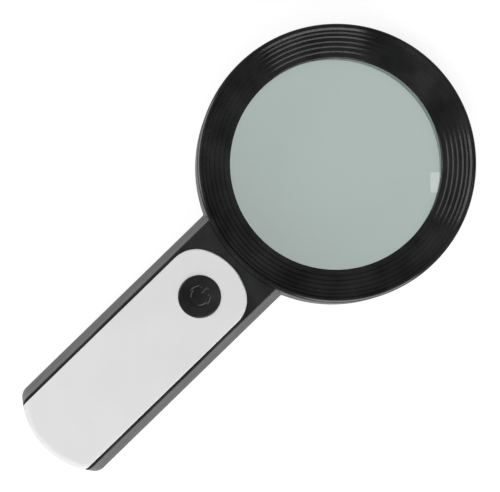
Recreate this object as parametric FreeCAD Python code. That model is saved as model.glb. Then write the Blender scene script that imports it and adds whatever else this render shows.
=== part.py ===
"""Hand-held low vision magnifier with a ring of lamps round its lens.

The magnifier lies on its back. +Z points up at the reader, the lens axis is the Z axis, the handle runs
along -Y, and z = 0 is the plane that the back of the ring and the handle rest on. Sizes are millimetres.

A front shell and a rear shell meet at a parting plane. A stepped bezel in the front shell presses a
biconvex lens onto the collar of a white lamp reflector, which closes the back of the ring and carries a
ring-shaped circuit board with its lamps. A white panel lies between two rails on the front of the handle
and wraps its end. The power button comes up through the panel from a push switch, and a door that slides
off the back of the handle covers three cells.
"""

import FreeCAD
import Part
import math
import os

Vector = FreeCAD.Vector
UP = Vector(0, 0, 1)
FAR = 200.0  # reaches past the whole object, for cutting tools

# ---- overall form
RIM_HEIGHT = 21.5  # rest plane to the top of the ring
HANDLE_DROP = 1.5  # the handle's front face lies this far below the top of the ring
PARTING_HEIGHT = 10.5  # where the two shells meet
RIM_RADIUS = 52.9  # outside of the ring, at its top
RING_WIDTH = 12.5  # outside of the ring to the lens opening
RING_FLARE = 2.1  # the ring's wall spreads by this much down to the rest plane
HANDLE_HALF_WIDTH = 18.35  # at the front face
HANDLE_FLARE = 4.25  # the handle's sides spread by this much down to the rest plane
END_FLARE = 5.5  # and its end by this much
HANDLE_LENGTH = 101.9  # outside of the ring to the tip of the handle, at the front face
END_ARC_RADIUS = 30.0  # the tip's curve in plan, at the front face
END_CORNER_RADIUS = 4.0
CORNER_FLARE = 1.0  # the tip's corners grow by this much down to the rest plane
WALL = 1.8
FLOOR = 2.0
FRONT_NECK_FILLET = 0.6
REAR_NECK_FILLET = 0.9
RIM_ROUNDING = 1.4
FACE_ROUNDING = 0.4  # along the outer edges of the handle's front face
BASE_ROUNDING = 1.2
PARTING_GROOVE_HEIGHT = 0.3
PARTING_GROOVE_DEPTH = 0.25

# ---- clearances
SEAM = 0.15  # between fixed mouldings that sit side by side
REST_GAP = 0.05  # between faces that bear on each other
SLIDING_GAP = 0.15  # round the battery door and the switch's plunger
BUTTON_GAP = 0.25  # round the button
SCREW_GAP = 0.05  # round a screw in its pilot hole
STROKE_GAP = 0.3  # left under what the button moves, when it is pressed

# ---- lens
LENS_LIP = 2.1  # the bezel covers this much of the lens's edge
LENS_CURVE_RADIUS = 250.0
LENS_EDGE = 2.3
LENS_MIDDLE_HEIGHT = 15.9
LENS_CUP_WALL = 1.4

# ---- bezel
LEDGE_DEPTH = 2.5  # top of the ring to the top of the front shell's wall, which the bezel rests on
BEZEL_WALL = 2.0
LIP_TOP_DRAFT = 0.3
LIP_ROUNDING = 0.35
STEPS = (  # each inward-facing step: its middle's distance in from the outside, width in plan, drop
    (1.95, 0.80, 0.80),
    (3.30, 0.50, 0.55),
    (4.80, 0.50, 0.50),
    (6.55, 0.45, 0.50),
    (8.25, 0.45, 0.50),
    (10.05, 0.45, 0.50),
)

# ---- lamps, their board and their reflector
LAMP_COUNT = 12
LAMP_INSET = 6.3  # outside of the ring to the lamps' middles
LAMP_RADIUS = 2.4
LAMP_FLANGE_WIDTH = 0.4
LAMP_FLANGE = 0.6
LAMP_DOME = 1.2
LAMP_HEIGHT = 4.6  # board to the tip of the dome
CUP_FLARE = 1.8  # a cup's mouth is wider than its lamp by this much all round
FOOT_WIDTH = 2.1  # outside of the ring, at its top, to the inside of the rear shell's foot
FOOT_HEIGHT = 1.5
REFLECTOR_FLANGE = 0.8  # bears on the foot
REFLECTOR_FLANGE_THICKNESS = 1.6
REFLECTOR_THICKNESS = 4.4
COLLAR_WALL = 1.8
LAMP_BOARD_HEIGHT = 9.0
BOARD = 1.2
LAMP_BOARD_MARGIN = 1.5  # board to the inside of the ring's wall, at the parting plane
LAMP_BOARD_BORE_MARGIN = 0.35
RESISTOR = (2.0, 1.25, 0.6)

# ---- white front panel
RAIL_WIDTH = 1.29  # black rail left on each side of the panel
PANEL_GAP = 2.8  # ring to the top of the panel
PANEL_CROWN_RADIUS = 22.5
PANEL_CORNER_RADIUS = 12.0
PANEL_RECESS = 1.4  # the handle's front face to the floor that the panel lies on
PANEL_PROUD = 0.6
PANEL_END_WALL = 1.8
PANEL_END_GAP = 0.5  # door to the panel's lower edge, at the handle's end
PANEL_ROUNDING = 0.5
PANEL_END_ROUNDING = 2.8  # at the tip, where the panel folds down over the handle's end
PANEL_PEG_RADIUS = 1.2
PANEL_PEG_LENGTH = 2.7
PANEL_PEG_INSET = 4.1  # from the panel's side
PANEL_PEG_PLACES = (43.1, 83.1)  # from the outside of the ring
FRONT_PLATE = 1.8

# ---- power button and its switch
BUTTON_INSET = 16.8  # top of the panel to the button's middle
BUTTON_RADIUS = 7.95
BUTTON_PROUD = 0.45  # edge of the button above the panel
BUTTON_DOME = 0.35
BUTTON_ROUNDING = 0.55
BUTTON_SKIN = 1.8
BUTTON_SIDE = 1.3
BUTTON_FLANGE_WIDTH = 1.35
BUTTON_FLANGE = 1.0
BUTTON_TRAVEL = 1.2
BUTTON_STEM_RADIUS = 2.4
SYMBOL_RADIUS = 3.65
SYMBOL_STROKE = 0.75
SYMBOL_DEPTH = 0.3
SYMBOL_GAP_DEGREES = 40.0  # each side of the bar
SYMBOL_BAR_START = 1.2
SYMBOL_BAR_END = 4.5
SWITCH_SIDE = 8.5
SWITCH_FLOOR = 1.2
PLUNGER_RADIUS = 1.6
PLUNGER_SHOWING = 1.0  # of the plunger above the switch, when it is pressed
PLUNGER_DEPTH = 2.6  # of the plunger inside the switch, at rest
SWITCH_SPRING_RADIUS = 1.2
SWITCH_SPRING_WIRE = 0.3
SWITCH_SPRING_PITCH = 0.7
SWITCH_BOARD_HEIGHT = 5.2
SWITCH_BOARD_SIZE = (20.0, 24.0)
BOARD_POST_RADIUS = 2.3
BOARD_POSTS = ((7.4, 9.6), (-7.4, 9.6), (0.0, -9.4))  # from the button's middle, + towards the ring
BOARD_CHIPS = ((-7.6, 1.6), (-7.6, -1.2), (7.6, 0.4))
PAD_MARGIN = 2.4  # a lead's pad to the edge of the board

# ---- cells, their tray and their contacts
CELL_RADIUS = 5.25
CELL_LENGTH = 44.5
CELL_NUB_RADIUS = 1.9
CELL_NUB = 0.8
CELL_SPACING = 0.2
CELL_COUNT = 3
CELL_GAP = 0.25
TRAY_WALL = 1.0
TRAY_OFFSET = 16.7  # button's middle to the bay's end wall nearest the ring
SPRING_HEIGHT = 6.3
CONTACT = 0.4
CONTACT_HALF_WIDTH = 4.3
SPRING_WIRE = 0.6
SPRING_PITCH = 1.45
SPRING_WIDE_RADIUS = 3.6
SPRING_CONE_DEGREES = -14.0

# ---- battery door
DOOR_LEAD_IN = 4.9  # the door covers this much beyond the bay, towards the ring
DOOR_SIDE = 0.4  # the door covers this much beyond the bay, on each side
DOOR_RECESS = 0.2
DOOR_TOP = 2.3
DOOR_FLANGE = 1.0
DOOR_FLANGE_REACH = 1.2
GRIP_GROOVES = 6
GRIP_PITCH = 2.4
GRIP_GROOVE = (15.0, 1.1, 0.6)
GRIP_INSET = 17.4  # handle's tip to the first groove
ARROW_INSET = 20.9  # handle's tip to the arrow's tip
ARROW_SIZE = (6.0, 4.0)

# ---- screws: shank radius, head radius, head height, length under the head
SHELL_SCREW = (1.25, 2.4, 1.6, 11.5)
RING_SCREW = (1.15, 2.1, 1.4, 10.5)
BOARD_SCREW = (0.75, 1.5, 1.0, 4.0)
SHELL_BOSS_RADIUS = 3.0
NECK_SCREW_DEPTH = 1.0  # rest plane to a neck screw's head
NECK_SCREW_PLACE = (14.0, 8.6)  # x, and distance from the outside of the ring
END_SCREW_PLACE = (12.0, 8.2)  # x, and distance from the handle's tip
RING_SCREW_DEGREES = (30.0, 150.0, 210.0, 330.0)
RING_SCREW_INSET = 5.7
RING_BOSS_RADIUS = 2.7
CROSS_SLOT = (0.21, 1.08, 0.33)  # width, length and depth of a screw's cross, over its head's radius

# ---- leads
LEAD = 1.2
ARC_SHARE = 0.45  # share of the shorter run that an arc takes
LEAD_DROP = 1.2  # middle of the cells to the holes that the leads come in by
LAMP_LEAD_X = 3.2
LEAD_OFFSET = 3.2  # middle of a cell to its lead's hole

# ---- derived sizes and places; a place is a distance from the lens axis unless it is a height
HANDLE_HEIGHT = RIM_HEIGHT - HANDLE_DROP
HANDLE_REACH = RIM_RADIUS + HANDLE_LENGTH
END_CENTRE = -(HANDLE_REACH - END_ARC_RADIUS)
BODY_START = -RIM_RADIUS / 2  # the handle's body begins inside the ring
APERTURE_RADIUS = RIM_RADIUS - RING_WIDTH
LENS_RADIUS = APERTURE_RADIUS + LENS_LIP
LEDGE_HEIGHT = RIM_HEIGHT - LEDGE_DEPTH
LAMP_CIRCLE = RIM_RADIUS - LAMP_INSET
LAMP_BOARD_TOP = LAMP_BOARD_HEIGHT + BOARD
LAMP_BOARD_BORE = LENS_RADIUS + SEAM + LAMP_BOARD_BORE_MARGIN
FOOT_RADIUS = RIM_RADIUS - FOOT_WIDTH
REFLECTOR_BOTTOM = FOOT_HEIGHT + REST_GAP
REFLECTOR_TOP = REFLECTOR_BOTTOM + REFLECTOR_THICKNESS
RING_SCREW_CIRCLE = RIM_RADIUS - RING_SCREW_INSET
PANEL_START = RIM_RADIUS + PANEL_GAP
PANEL_HALF_WIDTH = HANDLE_HALF_WIDTH - RAIL_WIDTH
PANEL_FLOOR_HEIGHT = HANDLE_HEIGHT - PANEL_RECESS
PLATE_UNDERSIDE = PANEL_FLOOR_HEIGHT - FRONT_PLATE
PANEL_TOP = HANDLE_HEIGHT + PANEL_PROUD
PANEL_BOTTOM = PANEL_FLOOR_HEIGHT + REST_GAP
PANEL_END_BOTTOM = DOOR_TOP + PANEL_END_GAP
END_INSET = PANEL_END_WALL + SEAM
PANEL_PEGS = [(side * (PANEL_HALF_WIDTH - PANEL_PEG_INSET), -RIM_RADIUS - place)
              for place in PANEL_PEG_PLACES for side in (1, -1)]
BUTTON_Y = -(PANEL_START + BUTTON_INSET)
BUTTON_EDGE_HEIGHT = PANEL_TOP + BUTTON_PROUD
BUTTON_BOTTOM = PLATE_UNDERSIDE - BUTTON_GAP - BUTTON_FLANGE
SWITCH_BOTTOM = SWITCH_BOARD_HEIGHT + BOARD
PLUNGER_TOP = BUTTON_BOTTOM - STROKE_GAP
SWITCH_TOP = PLUNGER_TOP - BUTTON_TRAVEL - PLUNGER_SHOWING
CELL_HEIGHT = DOOR_TOP + CELL_GAP + SLIDING_GAP + CELL_RADIUS
CELL_PITCH = 2 * CELL_RADIUS + CELL_SPACING
TRAY_START = TRAY_OFFSET - BUTTON_Y
TRAY_END = TRAY_START + CELL_LENGTH + SPRING_HEIGHT + 2 * CONTACT
BAY_HALF_WIDTH = CELL_PITCH * (CELL_COUNT - 1) / 2 + CELL_RADIUS + CELL_GAP
BAY_TOP = CELL_HEIGHT + CELL_RADIUS + CELL_GAP
TRAY_TOP = BAY_TOP + TRAY_WALL
DOOR_START = TRAY_START - DOOR_LEAD_IN
DOOR_HALF_WIDTH = BAY_HALF_WIDTH + DOOR_SIDE
CHANNEL_TOP = DOOR_TOP + SLIDING_GAP
NECK_SCREW_HEAD = NECK_SCREW_DEPTH
END_SCREW_HEAD = CHANNEL_TOP + STROKE_GAP
RING_SCREW_HEAD = REFLECTOR_BOTTOM + STROKE_GAP
SCREW_PLACES = [  # x, y and height of the head's outer face, for each screw that joins the shells
    (side * place[0], y, head)
    for place, y, head in (
        (NECK_SCREW_PLACE, -RIM_RADIUS - NECK_SCREW_PLACE[1], NECK_SCREW_HEAD),
        (END_SCREW_PLACE, -HANDLE_REACH + END_SCREW_PLACE[1], END_SCREW_HEAD),
    )
    for side in (1, -1)
]
LEAD_HEIGHT = CELL_HEIGHT - LEAD_DROP
LEAD_PASSAGE = LEAD / 2 + SEAM  # radius of the hole that a lead passes through
RED_LEAD_X = -(CELL_COUNT - 1) / 2 * CELL_PITCH + LEAD_OFFSET
BLACK_LEAD_X = (CELL_COUNT - 1) / 2 * CELL_PITCH - LEAD_OFFSET


# ---- basic shapes

def box(x0, x1, y0, y1, z0, z1):
    return Part.makeBox(x1 - x0, y1 - y0, z1 - z0, Vector(x0, y0, z0))


def cylinder(radius, z0, z1, x=0.0, y=0.0):
    return Part.makeCylinder(radius, z1 - z0, Vector(x, y, z0))


def cone(radius0, radius1, z0, z1, x=0.0, y=0.0):
    return Part.makeCone(radius0, radius1, z1 - z0, Vector(x, y, z0))


def turned(points, x=0.0, y=0.0):
    """A closed outline of (radius, height) points turned round a vertical axis."""
    wire = Part.makePolygon([Vector(x + r, y, z) for r, z in points + [points[0]]])
    return Part.Face(wire).revolve(Vector(x, y, 0), UP, 360)


def joined(shapes):
    first, *rest = shapes
    return first.fuse(rest).removeSplitter() if rest else first


def without(shape, *tools):
    return shape.cut(list(tools))


def solids_of(shapes):
    """Several separate solids that make one node."""
    return Part.makeCompound([s for shape in shapes for s in shape.Solids])


def around(degrees, circle):
    angle = math.radians(degrees)
    return circle * math.cos(angle), circle * math.sin(angle)


# ---- the outer form that both shells share

def ring_radius(z):
    return RIM_RADIUS + RING_FLARE * (1 - z / RIM_HEIGHT)


def handle_half_width(z):
    return HANDLE_HALF_WIDTH + HANDLE_FLARE * (1 - z / HANDLE_HEIGHT)


def end_radius(z):
    return END_ARC_RADIUS + END_FLARE * (1 - z / HANDLE_HEIGHT)


def handle_outline(z, inset=0.0):
    """The handle's plan outline at a height: two sides, two corner arcs and the end arc."""
    half = handle_half_width(z) - inset
    corner = END_CORNER_RADIUS + CORNER_FLARE * (1 - z / HANDLE_HEIGHT) - inset
    end = end_radius(z) - inset
    corner_x = half - corner
    corner_y = END_CENTRE - math.sqrt((end - corner) ** 2 - corner_x ** 2)
    lean = math.atan2(corner_x, END_CENTRE - corner_y)
    middle = (math.pi / 2 + lean) / 2

    def corner_point(angle, side):
        return Vector(side * (corner_x + corner * math.sin(angle)), corner_y - corner * math.cos(angle), z)

    edges = [
        Part.LineSegment(Vector(half, BODY_START, z), corner_point(math.pi / 2, 1)),
        Part.Arc(corner_point(math.pi / 2, 1), corner_point(middle, 1), corner_point(lean, 1)),
        Part.Arc(corner_point(lean, 1), Vector(0, END_CENTRE - end, z), corner_point(lean, -1)),
        Part.Arc(corner_point(lean, -1), corner_point(middle, -1), corner_point(math.pi / 2, -1)),
        Part.LineSegment(corner_point(math.pi / 2, -1), Vector(-half, BODY_START, z)),
        Part.LineSegment(Vector(-half, BODY_START, z), Vector(half, BODY_START, z)),
    ]
    return Part.Wire([e.toShape() for e in edges])


def outer_form(z0, z1, inset=0.0):
    ring = cone(ring_radius(z0) - inset, ring_radius(z1) - inset, z0, z1)
    top = min(z1, HANDLE_HEIGHT)
    handle = Part.makeLoft([handle_outline(z0, inset), handle_outline(top, inset)], True, True)
    return ring.fuse(handle)


def neck_edges(shape):
    """The two inner corners where the ring's wall meets the sides of the handle."""
    found = []
    for edge in shape.Edges:
        box_ = edge.BoundBox
        upright = box_.ZLength > 3 * max(box_.XLength, 0.1)
        beside = abs(edge.CenterOfMass.x) > HANDLE_HALF_WIDTH and edge.CenterOfMass.y > -RIM_RADIUS
        if upright and beside:
            found.append(edge)
    return found


def edges_at(shape, z, beyond=0.0):
    """Edges that lie at one height, whose middles are further than that from the lens axis."""
    level = [e for e in shape.Edges if abs(e.BoundBox.ZMin - z) < 1e-4 and abs(e.BoundBox.ZMax - z) < 1e-4]
    return [e for e in level if e.BoundBox.DiagonalLength > 1e-3 and far_from_axis(e) > beyond]


def far_from_axis(edge):
    point = edge.valueAt((edge.FirstParameter + edge.LastParameter) / 2)
    return math.hypot(point.x, point.y)


def ring_inside(z0, z1):
    return cone(ring_radius(z0) - WALL, ring_radius(z1) - WALL, z0, z1)


def cavity(z0, z1):
    """The space inside the handle: its sides are a wall in from the outside, its end further in."""
    start = -LAMP_CIRCLE
    wires = []
    for z in (z0, z1):
        half = handle_half_width(z) - WALL
        end = end_radius(z) - END_INSET - WALL
        corner_y = END_CENTRE - math.sqrt(end ** 2 - half ** 2)
        edges = [
            Part.LineSegment(Vector(half, start, z), Vector(half, corner_y, z)),
            Part.Arc(Vector(half, corner_y, z), Vector(0, END_CENTRE - end, z), Vector(-half, corner_y, z)),
            Part.LineSegment(Vector(-half, corner_y, z), Vector(-half, start, z)),
            Part.LineSegment(Vector(-half, start, z), Vector(half, start, z)),
        ]
        wires.append(Part.Wire([e.toShape() for e in edges]))
    return Part.makeLoft(wires, True, True)


def end_form(z0, z1, inset, side=FAR):
    """Everything on the ring's side of the handle's curved end, a stated depth in from its surface."""
    radii = [end_radius(z) - inset for z in (z0, z1)]
    return cone(radii[0], radii[1], z0, z1, 0, END_CENTRE).fuse(box(-side, side, END_CENTRE, side, z0, z1))


# ---- screws and their bosses

def screw(x, y, head_z, sizes):
    """A pan-head screw that points up from its head, whose outer face is at head_z."""
    shank, head, head_height, length = sizes
    seat, end = head_z + head_height, screw_end(head_z, sizes)
    body = cylinder(head, head_z, seat, x, y)
    body = body.makeFillet(head_height / 3, edges_at(body, head_z))
    stem = cylinder(shank, seat, end - shank, x, y)
    tip = cone(shank, shank / 2, end - shank, end, x, y)
    width, reach, depth = [share * head for share in CROSS_SLOT]
    slots = [
        box(x - reach / 2, x + reach / 2, y - width / 2, y + width / 2, head_z - depth, head_z + depth),
        box(x - width / 2, x + width / 2, y - reach / 2, y + reach / 2, head_z - depth, head_z + depth),
    ]
    return without(joined([body, stem, tip]), *slots)


def screw_end(head_z, sizes):
    return head_z + sizes[2] + sizes[3]


def turned_over(shape, x, y, z):
    """A shape made upwards from z = 0, turned to point down from a height."""
    shape.rotate(Vector(x, y, 0), Vector(1, 0, 0), 180)
    shape.translate(Vector(0, 0, z))
    return shape


# ---- lens and bezel

def lens_sag(radius):
    return LENS_CURVE_RADIUS - math.sqrt(LENS_CURVE_RADIUS ** 2 - radius ** 2)


def lens_surface(radius, side):
    """Height of the lens's front (side 1) or rear (side -1) face at a radius."""
    half = LENS_EDGE / 2 + lens_sag(LENS_RADIUS)
    return LENS_MIDDLE_HEIGHT + side * (half - lens_sag(radius))


def make_lens():
    def at(radius, side):
        return Vector(radius, 0, lens_surface(radius, side))

    half = LENS_RADIUS / 2
    edges = [
        Part.Arc(at(0, -1), at(half, -1), at(LENS_RADIUS, -1)),
        Part.LineSegment(at(LENS_RADIUS, -1), at(LENS_RADIUS, 1)),
        Part.Arc(at(LENS_RADIUS, 1), at(half, 1), at(0, 1)),
        Part.LineSegment(at(0, 1), at(0, -1)),
    ]
    outline = Part.Wire([e.toShape() for e in edges])
    return Part.Face(outline).revolve(Vector(0, 0, 0), UP, 360)


def bezel_top():
    """The stepped top face from the rim inwards, as (radius, height) points, and its lowest height."""
    height = RIM_HEIGHT
    points = [(RIM_RADIUS, height)]
    for inset, width, drop in STEPS:
        middle = RIM_RADIUS - inset
        points.append((middle + width / 2, height))
        height -= drop
        points.append((middle - width / 2, height))
    return points, height


def make_lens_bezel():
    top, lip = bezel_top()
    inner_top = APERTURE_RADIUS + LIP_TOP_DRAFT
    seat = lens_surface(APERTURE_RADIUS, 1) + REST_GAP
    cup = LENS_RADIUS + SEAM
    cup_bottom = LAMP_BOARD_TOP + RESISTOR[2] + SEAM
    flange = LEDGE_HEIGHT + REST_GAP
    skirt = ring_radius(LEDGE_HEIGHT) - WALL - SEAM
    under = [
        (inner_top + LIP_ROUNDING, lip),
        (inner_top, lip - LIP_ROUNDING),
        (APERTURE_RADIUS, seat),
        (cup, seat),
        (cup, cup_bottom),
        (cup + LENS_CUP_WALL, cup_bottom),
        (cup + LENS_CUP_WALL, lip - BEZEL_WALL),
        (skirt - BEZEL_WALL / 2, flange - BEZEL_WALL / 2),
        (skirt, flange - BEZEL_WALL / 2),
        (skirt, flange),
        (ring_radius(flange), flange),
    ]
    ring = turned(top + under)
    ring = ring.makeFillet(RIM_ROUNDING, edges_at(ring, RIM_HEIGHT, RIM_RADIUS - RIM_ROUNDING))
    bosses, pilots = [], []
    for x, y in ring_screw_places():
        bosses.append(cylinder(RING_BOSS_RADIUS, LAMP_BOARD_TOP + REST_GAP, lip - BEZEL_WALL / 2, x, y))
        pilot_end = screw_end(RING_SCREW_HEAD, RING_SCREW) + SCREW_GAP
        pilots.append(cylinder(RING_SCREW[0] + SCREW_GAP, 0, pilot_end, x, y))
    return without(joined([ring] + bosses), *pilots)


# ---- lamps, their board and their reflector

def lamp_places():
    return [around((n + 0.5) * 360 / LAMP_COUNT, LAMP_CIRCLE) for n in range(LAMP_COUNT)]


def ring_screw_places():
    return [around(degrees, RING_SCREW_CIRCLE) for degrees in RING_SCREW_DEGREES]


def make_lamps():
    tip = LAMP_BOARD_HEIGHT - LAMP_HEIGHT
    flange = LAMP_BOARD_HEIGHT - LAMP_FLANGE
    dome_radius = (LAMP_RADIUS ** 2 + LAMP_DOME ** 2) / (2 * LAMP_DOME)
    lamps = []
    for x, y in lamp_places():
        ball = Part.makeSphere(dome_radius, Vector(x, y, tip + dome_radius))
        straight = cylinder(LAMP_RADIUS, tip + LAMP_DOME, flange, x, y)
        head = cylinder(LAMP_RADIUS, tip, flange, x, y).common(ball.fuse(straight))
        foot = cylinder(LAMP_RADIUS + LAMP_FLANGE_WIDTH, flange, LAMP_BOARD_HEIGHT, x, y)
        lamps.append(joined([head, foot]))
    return solids_of(lamps)


def make_lamp_reflector():
    collar = APERTURE_RADIUS + SEAM
    collar_top = lens_surface(collar, -1) - REST_GAP
    outer = FOOT_RADIUS - SEAM
    plate = turned([
        (collar, REFLECTOR_BOTTOM),
        (outer + REFLECTOR_FLANGE, REFLECTOR_BOTTOM),
        (outer + REFLECTOR_FLANGE, REFLECTOR_BOTTOM + REFLECTOR_FLANGE_THICKNESS),
        (outer, REFLECTOR_BOTTOM + REFLECTOR_FLANGE_THICKNESS),
        (outer, REFLECTOR_TOP),
        (collar + COLLAR_WALL, REFLECTOR_TOP),
        (collar + COLLAR_WALL, collar_top),
        (collar, collar_top),
    ])
    throat = LAMP_RADIUS + SEAM
    throat_height = LAMP_BOARD_HEIGHT - LAMP_HEIGHT + LAMP_DOME
    posts, cuts = [], []
    for x, y in lamp_places():
        cuts.append(cone(LAMP_RADIUS + CUP_FLARE, throat, REFLECTOR_BOTTOM, throat_height, x, y))
        cuts.append(cylinder(throat, REFLECTOR_BOTTOM, LAMP_BOARD_HEIGHT, x, y))
    for x, y in ring_screw_places():
        posts.append(cylinder(RING_BOSS_RADIUS, REFLECTOR_BOTTOM, LAMP_BOARD_HEIGHT - REST_GAP, x, y))
        cuts.append(cylinder(RING_SCREW[0] + SCREW_GAP, 0, LAMP_BOARD_HEIGHT, x, y))
        cuts.append(cylinder(RING_SCREW[1] + SEAM, 0, RING_SCREW_HEAD + RING_SCREW[2], x, y))
    return without(joined([plate] + posts), *cuts)


def make_lamp_board():
    outside = ring_radius(PARTING_HEIGHT) - WALL - LAMP_BOARD_MARGIN
    ring = cylinder(outside, LAMP_BOARD_HEIGHT, LAMP_BOARD_TOP)
    cuts = [cylinder(LAMP_BOARD_BORE, 0, RIM_HEIGHT)]
    for x, y in ring_screw_places():
        cuts.append(cylinder(RING_SCREW[0] + SCREW_GAP, 0, RIM_HEIGHT, x, y))
    return without(ring, *cuts)


def chip(x, y, z, degrees=0.0):
    """A surface-mounted resistor that stands on a board's face at z."""
    length, width, height = RESISTOR
    block = box(-length / 2, length / 2, -width / 2, width / 2, 0, height)
    block.rotate(Vector(0, 0, 0), UP, degrees)
    block.translate(Vector(x, y, z))
    return block


def make_lamp_resistors():
    return solids_of([
        chip(x, y, LAMP_BOARD_TOP, math.degrees(math.atan2(y, x)) + 90) for x, y in lamp_places()
    ])


# ---- front panel

def panel_outline(grow=0.0):
    """The panel's plan as a face: a flattened round top, and straight sides that run past the handle."""
    half = PANEL_HALF_WIDTH + grow
    corner = PANEL_CORNER_RADIUS + grow
    crown = PANEL_CROWN_RADIUS + grow
    corner_x = PANEL_HALF_WIDTH - PANEL_CORNER_RADIUS
    crown_y = -(PANEL_START + PANEL_CROWN_RADIUS)
    corner_y = crown_y + math.sqrt((PANEL_CROWN_RADIUS - PANEL_CORNER_RADIUS) ** 2 - corner_x ** 2)
    lean = math.atan2(corner_x, corner_y - crown_y)
    middle = (math.pi / 2 + lean) / 2

    def corner_point(angle, side):
        return Vector(side * (corner_x + corner * math.sin(angle)), corner_y + corner * math.cos(angle), 0)

    right, left = Vector(half, -FAR, 0), Vector(-half, -FAR, 0)
    edges = [
        Part.LineSegment(right, corner_point(math.pi / 2, 1)),
        Part.Arc(corner_point(math.pi / 2, 1), corner_point(middle, 1), corner_point(lean, 1)),
        Part.Arc(corner_point(lean, 1), Vector(0, crown_y + crown, 0), corner_point(lean, -1)),
        Part.Arc(corner_point(lean, -1), corner_point(middle, -1), corner_point(math.pi / 2, -1)),
        Part.LineSegment(corner_point(math.pi / 2, -1), left),
        Part.LineSegment(left, right),
    ]
    return Part.Face(Part.Wire([e.toShape() for e in edges]))


def panel_prism(z0, z1, grow=0.0):
    face = panel_outline(grow)
    face.translate(Vector(0, 0, z0))
    return face.extrude(Vector(0, 0, z1 - z0))


def make_front_panel():
    whole = panel_prism(PANEL_END_BOTTOM, PANEL_TOP).common(end_form(PANEL_END_BOTTOM, PANEL_TOP, 0))
    inside = end_form(PANEL_END_BOTTOM - 1, PANEL_BOTTOM, PANEL_END_WALL)
    panel = without(whole, inside).removeSplitter()
    tip = edges_at(panel, PANEL_TOP, -END_CENTRE)
    panel = panel.makeFillet(PANEL_END_ROUNDING, tip)
    sides = [e for e in edges_at(panel, PANEL_TOP) if far_from_axis(e) < -END_CENTRE]
    panel = panel.makeFillet(PANEL_ROUNDING, sides)
    pegs = [cylinder(PANEL_PEG_RADIUS, PANEL_BOTTOM - PANEL_PEG_LENGTH, PANEL_TOP - PANEL_ROUNDING, x, y)
            for x, y in PANEL_PEGS]
    hole = cylinder(BUTTON_RADIUS + BUTTON_GAP, 0, PANEL_TOP + 1, 0, BUTTON_Y)
    return without(joined([panel] + pegs), hole)


def panel_recess():
    """What the front shell's face gives up to the panel."""
    return panel_prism(PANEL_FLOOR_HEIGHT, RIM_HEIGHT + 1, SEAM)


def panel_end_step():
    """What both shells give up to the panel's wall round the handle's end."""
    half = PANEL_HALF_WIDTH + SEAM
    strip = box(-half, half, -FAR, END_CENTRE, DOOR_TOP, RIM_HEIGHT + 1)
    return strip.cut(end_form(DOOR_TOP - 1, RIM_HEIGHT + 2, END_INSET))


# ---- shells

def make_front_shell():
    form = outer_form(PARTING_HEIGHT, RIM_HEIGHT)
    form = form.makeFillet(FRONT_NECK_FILLET, neck_edges(form))
    form = form.makeFillet(FACE_ROUNDING, edges_at(form, HANDLE_HEIGHT, RIM_RADIUS + RING_FLARE))
    groove = box(-FAR, FAR, -FAR, FAR, PARTING_HEIGHT - 1, PARTING_HEIGHT + PARTING_GROOVE_HEIGHT)
    cuts = [
        ring_inside(PARTING_HEIGHT, LEDGE_HEIGHT),
        cone(ring_radius(LEDGE_HEIGHT) + SEAM, ring_radius(RIM_HEIGHT) + SEAM, LEDGE_HEIGHT, RIM_HEIGHT),
        cavity(PARTING_HEIGHT - 1, PLATE_UNDERSIDE),
        cylinder(BUTTON_RADIUS + BUTTON_GAP, 0, RIM_HEIGHT, 0, BUTTON_Y),
        panel_recess(),
        panel_end_step(),
        *[cylinder(PANEL_PEG_RADIUS + SEAM, 0, RIM_HEIGHT, x, y) for x, y in PANEL_PEGS],
        groove.cut(outer_form(PARTING_HEIGHT - 1, PARTING_HEIGHT + 1, PARTING_GROOVE_DEPTH)),
    ]
    shell = without(form, *cuts)
    boss_top = PANEL_FLOOR_HEIGHT - FRONT_PLATE / 2
    bosses, pilots = [], []
    for x, y, head in SCREW_PLACES:
        end = screw_end(head, SHELL_SCREW) + SCREW_GAP
        bosses.append(cylinder(SHELL_BOSS_RADIUS, PARTING_HEIGHT, boss_top, x, y))
        pilots.append(cylinder(SHELL_SCREW[0] + SCREW_GAP, 0, end, x, y))
    return without(joined([shell] + bosses), *pilots)


def lead_hole(x, y):
    """A hole along Y through an end wall of the battery bay, for a lead that comes in at a contact."""
    return Part.makeCylinder(LEAD_PASSAGE, 2 * TRAY_WALL, Vector(x, y, LEAD_HEIGHT), Vector(0, 1, 0))


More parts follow.
